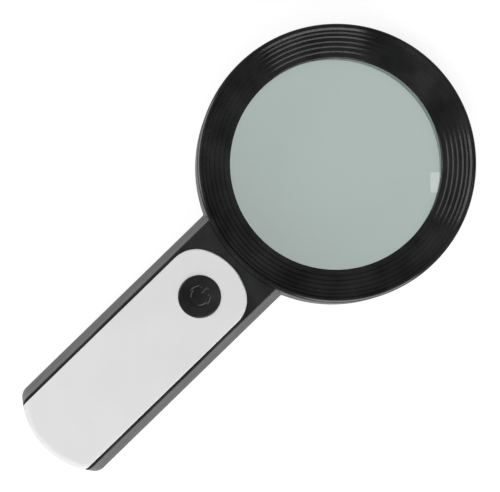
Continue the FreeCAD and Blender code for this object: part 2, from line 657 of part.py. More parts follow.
def make_rear_shell():
    form = outer_form(0, PARTING_HEIGHT)
    form = form.makeFillet(REAR_NECK_FILLET, neck_edges(form))
    form = form.makeFillet(BASE_ROUNDING, edges_at(form, 0))
    shell = without(
        form,
        ring_inside(FOOT_HEIGHT, PARTING_HEIGHT),
        cylinder(FOOT_RADIUS, -1, FOOT_HEIGHT + 1),
        cavity(FLOOR, PARTING_HEIGHT + 1),
    )
    wall_x = BAY_HALF_WIDTH + TRAY_WALL
    runners = box(-FAR, FAR, -FAR, -DOOR_START + FLOOR, 0, CHANNEL_TOP + DOOR_FLANGE)
    runners = runners.common(outer_form(0, PARTING_HEIGHT, WALL / 2))
    runners = runners.common(end_form(0, PARTING_HEIGHT, END_INSET))
    adds = [box(-wall_x, wall_x, -TRAY_END - TRAY_WALL, -TRAY_START + TRAY_WALL, 0, TRAY_TOP), runners]
    cuts = [
        box(-BAY_HALF_WIDTH, BAY_HALF_WIDTH, -TRAY_END, -TRAY_START, -1, BAY_TOP),
        lead_hole(RED_LEAD_X, -TRAY_START - TRAY_WALL / 2),
        lead_hole(BLACK_LEAD_X, -TRAY_END - 3 * TRAY_WALL / 2),
        door_channel(),
        panel_end_step(),
    ]
    for x, y, head in SCREW_PLACES:
        adds.append(cylinder(SHELL_BOSS_RADIUS, 0, PARTING_HEIGHT - REST_GAP, x, y))
        cuts.append(cylinder(SHELL_SCREW[0] + SCREW_GAP, -1, PARTING_HEIGHT + 1, x, y))
        cuts.append(cylinder(SHELL_SCREW[1] + SEAM, -1, head + SHELL_SCREW[2], x, y))
    for x, y in board_post_places():
        adds.append(cylinder(BOARD_POST_RADIUS, 0, SWITCH_BOARD_HEIGHT - REST_GAP, x, y))
        cuts.append(cylinder(BOARD_SCREW[0] + SCREW_GAP, FLOOR, SWITCH_BOARD_HEIGHT, x, y))
    return without(joined([shell] + adds), *cuts)


# ---- battery door

def door_channel():
    """The slot that the door slides in, open at the handle's end."""
    half = DOOR_HALF_WIDTH + SLIDING_GAP
    reach = half + DOOR_FLANGE_REACH
    end = -DOOR_START + SLIDING_GAP
    opening = box(-half, half, -FAR, end, -1, CHANNEL_TOP)
    grooves = box(-reach, reach, -FAR, end, DOOR_TOP - DOOR_FLANGE - SLIDING_GAP, CHANNEL_TOP)
    return opening.fuse(grooves)


def make_battery_door():
    form = outer_form(0, PARTING_HEIGHT)
    form = form.makeFillet(BASE_ROUNDING, edges_at(form, 0))
    reach = DOOR_HALF_WIDTH + DOOR_FLANGE_REACH
    plate = box(-DOOR_HALF_WIDTH, DOOR_HALF_WIDTH, -FAR, -DOOR_START, DOOR_RECESS, DOOR_TOP)
    flanges = box(-reach, reach, -FAR, -DOOR_START, DOOR_TOP - DOOR_FLANGE, DOOR_TOP)
    length, width, depth = GRIP_GROOVE
    cuts = []
    for n in range(GRIP_GROOVES):
        y = -HANDLE_REACH + GRIP_INSET - n * GRIP_PITCH
        cuts.append(box(-length / 2, length / 2, y - width / 2, y + width / 2, -1, DOOR_RECESS + depth))
    tip_y = -HANDLE_REACH + ARROW_INSET
    long_, half = ARROW_SIZE
    arrow = [Vector(0, tip_y, 0), Vector(half, tip_y + long_, 0), Vector(-half, tip_y + long_, 0)]
    cuts.append(Part.Face(Part.makePolygon(arrow + arrow[:1])).extrude(Vector(0, 0, DOOR_RECESS + depth)))
    return without(joined([plate, flanges]).common(form), *cuts)


# ---- button and switch

def make_power_button():
    shoulder = BUTTON_EDGE_HEIGHT
    flat = BUTTON_RADIUS - BUTTON_ROUNDING
    flange = BUTTON_RADIUS + BUTTON_FLANGE_WIDTH
    bend = BUTTON_ROUNDING * (1 - math.sqrt(0.5))
    dome_radius = (flat ** 2 + BUTTON_DOME ** 2) / (2 * BUTTON_DOME)
    half_way = BUTTON_DOME - (dome_radius - math.sqrt(dome_radius ** 2 - (flat / 2) ** 2))
    roof = shoulder - BUTTON_SKIN
    inner = BUTTON_RADIUS - BUTTON_SIDE

    def at(radius, z):
        return Vector(radius, BUTTON_Y, z)

    straight = [
        at(BUTTON_RADIUS, shoulder - BUTTON_ROUNDING), at(BUTTON_RADIUS, BUTTON_BOTTOM + BUTTON_FLANGE),
        at(flange, BUTTON_BOTTOM + BUTTON_FLANGE), at(flange, BUTTON_BOTTOM), at(inner, BUTTON_BOTTOM),
        at(inner, roof), at(BUTTON_STEM_RADIUS, roof), at(BUTTON_STEM_RADIUS, PLUNGER_TOP),
        at(0, PLUNGER_TOP), at(0, shoulder + BUTTON_DOME),
    ]
    edges = [Part.LineSegment(a, b).toShape() for a, b in zip(straight, straight[1:])]
    edges.append(Part.Arc(straight[-1], at(flat / 2, shoulder + half_way), at(flat, shoulder)).toShape())
    bent = at(BUTTON_RADIUS - bend, shoulder - bend)
    edges.append(Part.Arc(at(flat, shoulder), bent, straight[0]).toShape())
    cap = Part.Face(Part.Wire(edges)).revolve(at(0, 0), UP, 360)
    return without(cap, power_symbol(shoulder + BUTTON_DOME - SYMBOL_DEPTH))


def power_symbol(z):
    """A broken circle with a bar in its gap, which faces the ring."""
    top = z + 2 * SYMBOL_DEPTH
    half = SYMBOL_STROKE / 2
    band = cylinder(SYMBOL_RADIUS + half, z, top, 0, BUTTON_Y)
    band = band.cut(cylinder(SYMBOL_RADIUS - half, z, top, 0, BUTTON_Y))
    reach = 2 * SYMBOL_RADIUS
    spread = reach * math.tan(math.radians(SYMBOL_GAP_DEGREES))
    tip = Vector(0, BUTTON_Y, z)
    corners = [tip, tip + Vector(spread, reach, 0), tip + Vector(-spread, reach, 0)]
    gap = Part.Face(Part.makePolygon(corners + corners[:1])).extrude(Vector(0, 0, top - z))
    bar = box(-half, half, BUTTON_Y + SYMBOL_BAR_START, BUTTON_Y + SYMBOL_BAR_END, z, top)
    return band.cut(gap).fuse(bar)


def make_switch_plunger():
    return cylinder(PLUNGER_RADIUS, SWITCH_TOP - PLUNGER_DEPTH, PLUNGER_TOP, 0, BUTTON_Y)


def make_switch_body():
    half = SWITCH_SIDE / 2
    body = box(-half, half, BUTTON_Y - half, BUTTON_Y + half, SWITCH_BOTTOM, SWITCH_TOP)
    body = body.makeFillet(0.5, [e for e in body.Edges if e.BoundBox.ZLength > 1])
    bore = cylinder(PLUNGER_RADIUS + SLIDING_GAP, SWITCH_BOTTOM + SWITCH_FLOOR, SWITCH_TOP + 1, 0, BUTTON_Y)
    return without(body, bore)


def make_switch_spring():
    bottom = SWITCH_BOTTOM + SWITCH_FLOOR + REST_GAP
    room = SWITCH_TOP - PLUNGER_DEPTH - REST_GAP - bottom
    spring = coil(SWITCH_SPRING_PITCH, room, SWITCH_SPRING_RADIUS, SWITCH_SPRING_WIRE, 0.0)
    spring.translate(Vector(0, BUTTON_Y, bottom))
    return spring


def board_post_places():
    return [(x, BUTTON_Y + along) for x, along in BOARD_POSTS]


def make_switch_board():
    width, length = SWITCH_BOARD_SIZE
    board = box(-width / 2, width / 2, BUTTON_Y - length / 2, BUTTON_Y + length / 2,
                SWITCH_BOARD_HEIGHT, SWITCH_BOTTOM)
    board = board.makeFillet(1.0, [e for e in board.Edges if e.BoundBox.ZLength > 1])
    return without(board, *[cylinder(BOARD_SCREW[0] + SCREW_GAP, 0, SWITCH_TOP, x, y)
                            for x, y in board_post_places()])


def make_board_resistors():
    return solids_of([chip(x, BUTTON_Y + along, SWITCH_BOTTOM, 90) for x, along in BOARD_CHIPS])


# ---- cells and contacts

def cell_x(n):
    return (n - (CELL_COUNT - 1) / 2) * CELL_PITCH


def cell_points_to_ring(n):
    """Neighbouring cells point opposite ways; the outer two have their positive end towards the ring."""
    return n % 2 == 0


def along_y(shape, x, y, turn_round):
    """A shape made on the Z axis, laid along Y from (x, y) towards the ring, or away from it."""
    shape.rotate(Vector(0, 0, 0), Vector(1, 0, 0), 90 if turn_round else -90)
    shape.translate(Vector(x, y, CELL_HEIGHT))
    return shape


def make_cell(n):
    can = cylinder(CELL_RADIUS, 0, CELL_LENGTH - CELL_NUB)
    can = can.makeFillet(0.4, [e for e in can.Edges if e.Closed])
    cell = joined([can, cylinder(CELL_NUB_RADIUS, CELL_LENGTH / 2, CELL_LENGTH)])
    if cell_points_to_ring(n):
        return along_y(cell, cell_x(n), -(TRAY_START + CONTACT + CELL_LENGTH), False)
    return along_y(cell, cell_x(n), -(TRAY_END - CONTACT - CELL_LENGTH), True)


def contact_plate(cells, at_ring):
    """A flat strip against one end wall of the bay, across one cell or two."""
    x0 = cell_x(min(cells)) - CONTACT_HALF_WIDTH
    x1 = cell_x(max(cells)) + CONTACT_HALF_WIDTH
    y = -TRAY_START - CONTACT if at_ring else -TRAY_END
    return box(x0, x1, y, y + CONTACT, CELL_HEIGHT - CONTACT_HALF_WIDTH, CELL_HEIGHT + CONTACT_HALF_WIDTH)


def coil(pitch, height, radius, wire, cone_degrees):
    """A spring of round wire that stands on z = 0 and fills a height, straight-sided or coned."""
    line = Part.makeHelix(pitch, height - wire, radius, cone_degrees)
    section = Part.Wire(Part.makeCircle(wire / 2, Vector(radius, 0, 0), Vector(0, 1, 0)))
    spring = Part.Wire(line).makePipeShell([section], True, True)
    spring.translate(Vector(0, 0, wire / 2))
    return spring


def contact_spring(n, at_ring):
    """A coned spring, its wide end on the contact plate and its narrow end on the cell's flat base."""
    spring = coil(SPRING_PITCH, SPRING_HEIGHT - 2 * REST_GAP, SPRING_WIDE_RADIUS, SPRING_WIRE,
                  SPRING_CONE_DEGREES)
    spring.translate(Vector(0, 0, REST_GAP))
    y = -TRAY_START - CONTACT if at_ring else -TRAY_END + CONTACT
    return along_y(spring, cell_x(n), y, at_ring)


# ---- leads

def lead(points):
    """A round lead through points, as straight runs joined by tangent arcs. It prints its arcs' radii."""
    points = [Vector(*p) for p in points]
    edges, start, radii = [], points[0], []
    for before, here, after in zip(points, points[1:], points[2:]):
        back, on = before - here, after - here
        turn = math.pi - back.getAngle(on)
        reach = ARC_SHARE * min(back.Length, on.Length)
        radii.append(reach / math.tan(turn / 2))
        back.normalize()
        on.normalize()
        first, last = here + back * reach, here + on * reach
        inward = back + on
        inward.normalize()
        middle = here + inward * (radii[-1] / math.cos(turn / 2) - radii[-1])
        edges.append(Part.LineSegment(start, first).toShape())
        edges.append(Part.Arc(first, middle, last).toShape())
        start = last
    edges.append(Part.LineSegment(start, points[-1]).toShape())
    path = Part.Wire(edges)
    section = Part.Wire(Part.makeCircle(LEAD / 2, points[0], points[1] - points[0]))
    tube = path.makePipeShell([section], True, False)
    expected = math.pi * (LEAD / 2) ** 2 * path.Length
    print("lead: length", round(path.Length, 1), "volume ratio", round(tube.Volume / expected, 4),
          "arc radii", [round(r, 1) for r in radii])
    return tube


def make_lamp_lead(side):
    """From the switch board's pad, through the neck, to the top of the lamp board."""
    x = side * LAMP_LEAD_X
    pad_y = BUTTON_Y + SWITCH_BOARD_SIZE[1] / 2 - PAD_MARGIN
    land_y = -LAMP_CIRCLE
    middle_y = (pad_y + land_y) / 2
    over = LAMP_BOARD_TOP + 3.4
    return lead([
        (x, pad_y, SWITCH_BOTTOM), (x, pad_y, over - 1.2), (x * 1.5, middle_y - 0.5, over + 0.3),
        (x, land_y, over), (x, land_y, LAMP_BOARD_TOP),
    ])


def make_cell_lead_positive():
    """From the switch board's pad to the first cell's contact, through the bay's end wall."""
    x, wall_y = RED_LEAD_X, -TRAY_START + TRAY_WALL
    pad_y = BUTTON_Y - SWITCH_BOARD_SIZE[1] / 2 + PAD_MARGIN
    return lead([
        (x + 2.4, pad_y, SWITCH_BOTTOM), (x + 2.4, pad_y, SWITCH_BOTTOM + 3.6),
        (x + 0.8, (pad_y + wall_y) / 2 - 0.4, SWITCH_BOTTOM + 3.2), (x, wall_y + 1.4, LEAD_HEIGHT),
        (x, -TRAY_START, LEAD_HEIGHT),
    ])


def make_cell_lead_negative():
    """From the switch board's pad, over the tray and down its far end, to the last cell's contact."""
    x, top = BLACK_LEAD_X, TRAY_TOP + LEAD / 2 + SEAM
    pad_y = BUTTON_Y - SWITCH_BOARD_SIZE[1] / 2 + PAD_MARGIN
    near_y, far_y = -TRAY_START + TRAY_WALL, -TRAY_END - TRAY_WALL
    middle_y = (near_y + far_y) / 2
    return lead([
        (x - 0.6, pad_y, SWITCH_BOTTOM), (x - 0.6, pad_y, SWITCH_BOTTOM + 5.2),
        (x - 0.3, near_y + 1.2, top + 0.5), (x + 0.4, near_y - 6.0, top + 0.1),
        (x + 0.2, middle_y, top + 0.2), (x + 0.6, far_y + 9.0, top), (x + 0.2, far_y - 0.9, top + 0.6),
        (x, far_y - 3.4, LEAD_HEIGHT + 3.6), (x, far_y - 1.7, LEAD_HEIGHT), (x, -TRAY_END, LEAD_HEIGHT),
    ])


# ---- the whole object

def make_parts():
    """Every node and its shape."""
    first, middle, last = 0, 1, CELL_COUNT - 1
    link_ring = [contact_plate([middle, last], True), contact_spring(middle, True)]
    link_tip = [contact_plate([first, middle], False), contact_spring(first, False)]
    parts = {
        "front_shell": make_front_shell(),
        "rear_shell": make_rear_shell(),
        "lens_bezel": make_lens_bezel(),
        "lens": make_lens(),
        "lamp_reflector": make_lamp_reflector(),
        "lamp_board": make_lamp_board(),
        "lamps": make_lamps(),
        "lamp_resistors": make_lamp_resistors(),
        "front_panel": make_front_panel(),
        "battery_door": make_battery_door(),
        "power_button": make_power_button(),
        "switch_plunger": make_switch_plunger(),
        "switch_body": make_switch_body(),
        "switch_spring": make_switch_spring(),
        "switch_board": make_switch_board(),
        "board_resistors": make_board_resistors(),
        "contact_positive": contact_plate([first], True),
        "contact_link_ring": solids_of(link_ring),
        "contact_link_tip": solids_of(link_tip),
        "contact_negative": solids_of([contact_plate([last], False), contact_spring(last, False)]),
        "lamp_lead_red": make_lamp_lead(1),
        "lamp_lead_black": make_lamp_lead(-1),
        "cell_lead_red": make_cell_lead_positive(),
        "cell_lead_black": make_cell_lead_negative(),
        "shell_screws": solids_of([screw(x, y, head, SHELL_SCREW) for x, y, head in SCREW_PLACES]),
        "ring_screws": solids_of([
            screw(x, y, RING_SCREW_HEAD, RING_SCREW) for x, y in ring_screw_places()
        ]),
        "board_screws": solids_of([
            turned_over(screw(x, y, 0, BOARD_SCREW), x, y, SWITCH_BOTTOM + BOARD_SCREW[2])
            for x, y in board_post_places()
        ]),
    }
    for n in range(CELL_COUNT):
        parts[f"cell_{n + 1}"] = make_cell(n)
    return parts


def main():
    os.makedirs("parts", exist_ok=True)
    for name, shape in make_parts().items():
        if not shape.isValid():
            print("invalid:", name)
        print(f"{name}: {len(shape.Solids)} solids, {shape.Volume:.1f} mm3")
        shape.exportStep(f"parts/{name}.step")


main()
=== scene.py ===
"""Looks for a hand-held low vision magnifier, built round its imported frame.

The frame gives every node's place, in metres: +Z is up towards the reader, the lens axis is the Z axis,
the handle runs along -Y and z = 0 is the plane that the back of the magnifier lies on. This file adds the
surfaces that the eye rests on, as meshes worked out from formulas, and gives every node its finish.
"""

import math

import bpy
import numpy as np
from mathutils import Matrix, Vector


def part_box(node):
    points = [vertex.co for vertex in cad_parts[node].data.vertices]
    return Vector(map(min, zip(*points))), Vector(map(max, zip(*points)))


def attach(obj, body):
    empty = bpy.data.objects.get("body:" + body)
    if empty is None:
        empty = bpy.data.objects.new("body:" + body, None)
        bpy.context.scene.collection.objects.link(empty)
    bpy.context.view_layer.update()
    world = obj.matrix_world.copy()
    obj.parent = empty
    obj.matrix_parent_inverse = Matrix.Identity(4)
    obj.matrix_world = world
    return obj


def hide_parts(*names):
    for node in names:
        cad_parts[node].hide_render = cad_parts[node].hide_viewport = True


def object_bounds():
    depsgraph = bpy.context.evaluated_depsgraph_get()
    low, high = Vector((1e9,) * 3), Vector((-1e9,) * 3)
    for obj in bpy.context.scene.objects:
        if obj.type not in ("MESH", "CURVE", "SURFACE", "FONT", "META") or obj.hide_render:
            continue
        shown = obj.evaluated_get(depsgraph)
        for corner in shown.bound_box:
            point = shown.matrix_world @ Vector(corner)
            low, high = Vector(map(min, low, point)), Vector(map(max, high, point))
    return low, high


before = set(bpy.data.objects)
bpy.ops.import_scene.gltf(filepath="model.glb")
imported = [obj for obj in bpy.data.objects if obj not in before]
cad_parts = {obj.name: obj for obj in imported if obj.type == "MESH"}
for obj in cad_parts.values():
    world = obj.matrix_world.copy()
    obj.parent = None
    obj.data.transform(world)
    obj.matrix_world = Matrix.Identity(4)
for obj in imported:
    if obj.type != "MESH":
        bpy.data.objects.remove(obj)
CAD_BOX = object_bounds()

bl_info = {
    "name": "Low Vision Magnifier",
    "version": (1, 0, 0),
    "blender": (4, 5, 0),
    "location": "3D View > Sidebar > Magnifier",
    "description": "Makes a magnifier's lens, bezel, button, lamps and cells, its finishes and its stage",
    "category": "Add Mesh",
}

MM = 0.001
MICRON = 0.000001


# ---------------------------------------------------------------- settings

def linear(hex_code):
    """An sRGB hex colour such as "e4e4e3" as three linear numbers."""
    srgb = np.array([int(hex_code[i:i + 2], 16) for i in (0, 2, 4)]) / 255
    return tuple(np.where(srgb <= 0.04045, srgb / 12.92, ((srgb + 0.055) / 1.055) ** 2.4))


def length(name, millimetres, description):
    """A size that a user may change, given in millimetres and kept in metres."""
    return bpy.props.FloatProperty(
        name=name, description=description, default=millimetres * MM, unit="LENGTH", precision=5)


def angle(name, degrees, description):
    """An angle that a user may change, given in degrees and kept in radians."""
    return bpy.props.FloatProperty(
        name=name, description=description, default=math.radians(degrees), unit="ROTATION")


def colour(name, hex_code, description):
    """A colour that a user may change, given as an sRGB hex value."""
    return bpy.props.FloatVectorProperty(
        name=name, description=description, default=linear(hex_code), subtype="COLOR", min=0, max=1)


class LensSettings(bpy.types.PropertyGroup):
    curve: length("Curve radius", 250, "Radius of both faces of the lens")
    chamfer: length("Edge bevel", 0.2, "Ground bevel round each edge of the lens")
    # The tint is the glass's faint green cast, greyed further as painted shade on the floor seen through the
    # lens.
    tint: colour("Tint", "ced9d5", "What a single pass through the glass does to white")


class BezelSettings(bpy.types.PropertyGroup):
    opening: length("Opening", 40.4, "Radius that the lens is seen through")
    flange: length("Flange", 2.45, "Height of the bezel's outer wall")
    flare: length("Flare", 0.24, "The outer wall spreads by this much down to the shell")
    rim_rounding: length("Rim rounding", 1.4, "Radius on the outer edge of the rim")
    rounding: length("Step rounding", 0.12, "Radius on each edge of the steps")
    wall: length("Wall", 2.0, "Thickness of the bezel under its steps")


class ButtonSettings(bpy.types.PropertyGroup):
    radius: length("Radius", 7.95, "Outside of the button")
    rounding: length("Rounding", 0.55, "Radius round the top of the button")
    dome: length("Dome", 0.35, "Height of the crowned top over its edge")
    ring: length("Symbol radius", 3.65, "Middle of the broken circle")
    stroke: length("Symbol stroke", 0.75, "Width of the engraved line")
    depth: length("Symbol depth", 0.24, "How deep the line is engraved")
    gap: angle("Symbol gap", 40, "Half of the opening in the broken circle")


class LampSettings(bpy.types.PropertyGroup):
    epoxy: colour("Epoxy", "f7f6ee", "Tint of the clear epoxy")
    phosphor: colour("Phosphor", "e5c443", "The yellow phosphor under the dome")


class CellSettings(bpy.types.PropertyGroup):
    sleeve: colour("Sleeve", "1f5c6b", "Printed sleeve of a cell")
    band: colour("Band", "c9ccd0", "Band at the sleeve's positive end")


class PlasticSettings(bpy.types.PropertyGroup):
    black: colour("Black", "191a1a", "Moulded shells and bezel")
    button: colour("Button", "151516", "Push button")
    white: colour("White", "e6e5e5", "Front panel")
    reflector: colour("Reflector", "efefec", "Lamp reflector")


class StageSettings(bpy.types.PropertyGroup):
    floor: colour("Floor", "b4b4b4", "Plain pale floor")
    height: length("Camera height", 354.5, "Camera above the plane that the magnifier lies on")
    focal: bpy.props.FloatProperty(
        name="Focal length", description="Focal length of the camera", default=63.4, unit="CAMERA")
    turn: angle("Turn", 45.8, "How far the camera is turned about the lens axis")


def group(kind, name):
    """One set of settings inside the magnifier's own."""
    return bpy.props.PointerProperty(type=kind, name=name, description=f"Settings of the {name.lower()}")


class MagnifierSettings(bpy.types.PropertyGroup):
    lens: group(LensSettings, "Lens")
    bezel: group(BezelSettings, "Bezel")
    button: group(ButtonSettings, "Button")
    lamps: group(LampSettings, "Lamps")
    cells: group(CellSettings, "Cells")
    plastic: group(PlasticSettings, "Plastics")
    stage: group(StageSettings, "Stage")


# Each inward step of the bezel: how far its middle lies in from the outside of the ring, its width in
# plan and its drop.
BEZEL_STEPS = np.array([
    (1.95, 0.60, 0.80), (3.30, 0.36, 0.55), (4.80, 0.36, 0.50),
    (6.55, 0.32, 0.50), (8.25, 0.32, 0.50), (10.05, 0.32, 0.50),
]) * MM


# ---------------------------------------------------------------- surfaces

def rounded(points, radii, closed=True, steps=6):
    """A polygon in the (radius, height) plane with its corners turned into tangent arcs.

    At a corner that turns by t, an arc of radius a starts a * tan(t / 2) before the corner and ends as
    far after it. Its normals turn evenly from one side's to the next one's. A corner with no radius
    takes the mean of its two normals. An arc takes up to about half of the shorter side that it meets,
    or up to nine tenths at the first corner of a loop. Returns the points and their unit normals, which
    lie to the right of the direction of travel.
    """
    points = np.asarray(points, float)
    radii = np.broadcast_to(np.asarray(radii, float), len(points))
    ahead = np.roll(points, -1, 0) - points
    lengths = np.linalg.norm(ahead, axis=1)
    ahead = ahead / np.maximum(lengths, 1e-12)[:, None]
    normals = np.column_stack((ahead[:, 1], -ahead[:, 0]))
    places, facing = [], []
    for i, (corner, radius) in enumerate(zip(points, radii)):
        if not closed and i in (0, len(points) - 1):
            places.append(corner[None])
            facing.append(np.array([[0.0, np.sign(normals[0 if i == 0 else i - 1][1]) or 1.0]]))
            continue
        before, after = ahead[i - 1], ahead[i]
        turn = math.atan2(before[0] * after[1] - before[1] * after[0], before @ after)
        if radius <= 0 or abs(turn) < 1e-4:
            mean = normals[i - 1] + normals[i]
            places.append(corner[None])
            facing.append((mean / np.linalg.norm(mean))[None])
            continue
        room = min(lengths[i - 1], lengths[i])
        share = 0.9 if i == 0 else 0.48
        reach = min(radius * math.tan(abs(turn) / 2), share * room)
        radius = reach / math.tan(abs(turn) / 2) * math.copysign(1, turn)
        turned_by = np.linspace(0, turn, steps + 1)
        cosine, sine = np.cos(turned_by), np.sin(turned_by)
        x, y = normals[i - 1]
        arc = np.column_stack((x * cosine - y * sine, x * sine + y * cosine))
        centre = corner - before * reach - radius * normals[i - 1]
        places.append(centre + radius * arc)
        facing.append(arc)
    return np.concatenate(places), np.concatenate(facing)


def grid_faces(rows, columns, closed_rows):
    """Quads of a grid of rows by columns vertices whose columns, and perhaps rows, close on themselves."""
    row = np.arange(rows if closed_rows else rows - 1)[:, None]
    column = np.arange(columns)[None, :]
    below, beside = (row + 1) % rows, (column + 1) % columns
    corners = (row * columns + column, row * columns + beside, below * columns + beside,
               below * columns + column)
    return np.stack(np.broadcast_arrays(*corners), -1).reshape(-1, 4)


def turned(points, normals, closed=True, segments=256, centre=(0, 0)):
    """A profile turned about an upright axis through centre, as vertices, normals and faces.

    A point (r, z) at the angle a goes to (r cos a, r sin a, z). The profile is a loop, or an open line
    from the axis back to the axis, whose two ends become single vertices at the heart of a fan.
    """
    around = np.arange(segments) * 2 * np.pi / segments
    ring = np.column_stack((np.cos(around), np.sin(around)))
    inner = slice(None) if closed else slice(1, -1)

    def sweep(flat, offset):
        plan = flat[:, None, :1] * ring[None] + np.array(offset)
        height = np.broadcast_to(flat[:, None, 1:], plan.shape[:2] + (1,))
        return np.concatenate((plan, height), -1).reshape(-1, 3)

    vertices, facing = sweep(points[inner], centre), sweep(normals[inner], (0, 0))
    rows = len(points[inner])
    faces = grid_faces(rows, segments, closed)
    if closed:
        return vertices, facing, [faces]
    poles = np.array([(*centre, points[0][1]), (*centre, points[-1][1])])
    first, last = len(vertices), len(vertices) + 1
    column = np.arange(segments)
    beside = (column + 1) % segments
    start = np.column_stack((np.full(segments, first), beside, column))
    base = (rows - 1) * segments
    end = np.column_stack((np.full(segments, last), base + column, base + beside))
    up = np.array([(0, 0, normals[0][1]), (0, 0, normals[-1][1])])
    return np.concatenate((vertices, poles)), np.concatenate((facing, up)), [faces, start, end]


def piece(name, parts, body, replaced, material):
    """One object from several (vertices, normals, faces) surfaces, riding on a body in place of nodes."""
    vertices, normals, faces, first = [], [], [], 0
    for part_vertices, part_normals, part_faces in parts:
        vertices.append(part_vertices)
        normals.append(part_normals)
        faces += [face for block in part_faces for face in (block + first).tolist()]
        first += len(part_vertices)
    mesh = bpy.data.meshes.new(name)
    mesh.from_pydata(np.concatenate(vertices).tolist(), [], faces)
    mesh.validate()
    mesh.shade_smooth()
    mesh.normals_split_custom_set_from_vertices(np.concatenate(normals).tolist())
    mesh.materials.append(material)
    made = bpy.data.objects.new(name, mesh)
    bpy.context.scene.collection.objects.link(made)
    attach(made, body)
    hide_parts(*replaced)


def laid_along_y(part, centre, towards_ring):
    """A surface turned about Z, laid down so that its top points along +Y or -Y, and moved to centre.

    A point (x, y, z) goes to (x, z, -y), with its top towards the ring, or else to (x, -z, y).
    """
    vertices, normals, faces = part
    sign = 1 if towards_ring else -1
    turn = np.array([(1, 0, 0), (0, 0, -sign), (0, sign, 0)], float)
    return vertices @ turn + np.array(centre), normals @ turn, faces


# ---------------------------------------------------------------- finishes

def add(tree, kind, values=None, links=None, **attributes):
    """Adds a node with its settings, its sockets' values and the sockets that feed it."""
    made = tree.nodes.new(kind)
    for name, value in attributes.items():
        setattr(made, name, value)
    for name, value in (values or {}).items():
        made.inputs[name].default_value = value
    for name, socket in (links or {}).items():
        tree.links.new(socket, made.inputs[name])
    return made


def new_material(name):
    """An empty material and its node tree."""
    material = bpy.data.materials.new(name)
    material.use_nodes = True
    material.node_tree.nodes.clear()
    return material, material.node_tree


def output(tree, shader):
    """Joins a shader to the material's surface."""
    add(tree, "ShaderNodeOutputMaterial", links={"Surface": shader})


def noise(tree, size, detail=2.0, roughness=0.5):
    """Noise whose lumps are about one size across, in metres."""
    place = add(tree, "ShaderNodeTexCoord").outputs["Object"]
    return add(tree, "ShaderNodeTexNoise", {"Scale": 1 / size, "Detail": detail, "Roughness": roughness},
               {"Vector": place}).outputs["Fac"]


def spread(tree, source, low, high):
    """Noise, whose values keep near the middle of 0 to 1, stretched to run from low to high."""
    return add(tree, "ShaderNodeMapRange", {"From Min": 0.3, "From Max": 0.7, "To Min": low, "To Max": high},
               {"Value": source}).outputs["Result"]


def blend(tree, factor, first, second):
    """A colour that runs from first to second as factor, a socket, goes from 0 to 1."""
    mixed = add(tree, "ShaderNodeMix", links={"Factor": factor}, data_type="RGBA")
    sides = [socket for socket in mixed.inputs if socket.type == "RGBA"]
    for socket, shade in zip(sides, (first, second)):
        socket.default_value = (*shade, 1)
    return [socket for socket in mixed.outputs if socket.type == "RGBA"][0]


def moulded_plastic(name, base, gloss, grain, depth, mottle=0.06):
    """Injection-moulded ABS: a body colour under a skin that copies the mould's fine grain.

    gloss is the skin's roughness, grain the size of the mould's texture and depth its height. The colour
    clouds a little where the melt flowed, and the skin is smoother where hands have rubbed it.
    """
    material, tree = new_material(name)
    flow = spread(tree, noise(tree, 14 * MM, 3), 0, 1)
    lighter = tuple(c + (1 - c) * mottle * 0.12 + c * mottle for c in base)
    darker = tuple(c * (1 - mottle) for c in base)
    rub = spread(tree, noise(tree, 6 * MM, 4, 0.6), gloss * 0.86, gloss * 1.14)
    texture = noise(tree, grain, 2, 0.6)
    bump = add(tree, "ShaderNodeBump", {"Strength": 1.0, "Distance": depth}, {"Height": texture})
    shader = add(tree, "ShaderNodeBsdfPrincipled", {"IOR": 1.54},
                 {"Base Color": blend(tree, flow, darker, lighter), "Roughness": rub,
                  "Normal": bump.outputs["Normal"]})
    output(tree, shader.outputs["BSDF"])
    return material


def polished_glass(name, tint):
    """Optical crown glass: clear, with a faint green cast, a hard polish and the odd wipe mark. The tint is
    greyed past the glass's own cast as painted shade on the floor seen through it.

    Light that passes through to the floor only takes the tint, so the glass throws no hard shadow.
    """
    material, tree = new_material(name)
    wipe = spread(tree, noise(tree, 9 * MM, 5, 0.65), 0.0, 0.03)
    glass = add(tree, "ShaderNodeBsdfPrincipled",
                {"Base Color": (*tint, 1), "IOR": 1.52, "Transmission Weight": 1.0}, {"Roughness": wipe})
    clear = add(tree, "ShaderNodeBsdfTransparent", {"Color": (*(c * 0.93 for c in tint), 1)})
    in_shadow = add(tree, "ShaderNodeLightPath").outputs["Is Shadow Ray"]
    mixed = add(tree, "ShaderNodeMixShader", links={"Fac": in_shadow})
    tree.links.new(glass.outputs["BSDF"], mixed.inputs[1])
    tree.links.new(clear.outputs["BSDF"], mixed.inputs[2])
    output(tree, mixed.outputs["Shader"])
    return material


def cast_epoxy(name, tint):
    """Clear cast epoxy of a lamp: glossy, slightly milky, with the odd flow mark."""
    material, tree = new_material(name)
    haze = spread(tree, noise(tree, 1.5 * MM, 2), 0.03, 0.12)
    shader = add(tree, "ShaderNodeBsdfPrincipled",
                 {"Base Color": (*tint, 1), "IOR": 1.53, "Transmission Weight": 0.85}, {"Roughness": haze})
    output(tree, shader.outputs["BSDF"])
    return material


def phosphor_resin(name, base):
    """Phosphor in silicone: a soft, even yellow with a fine powdery grain."""
    material, tree = new_material(name)
    powder = spread(tree, noise(tree, 0.15 * MM, 2), 0, 1)
    shader = add(tree, "ShaderNodeBsdfPrincipled", {"Roughness": 0.6},
                 {"Base Color": blend(tree, powder, base, tuple(c * 0.85 for c in base))})
    output(tree, shader.outputs["BSDF"])
    return material


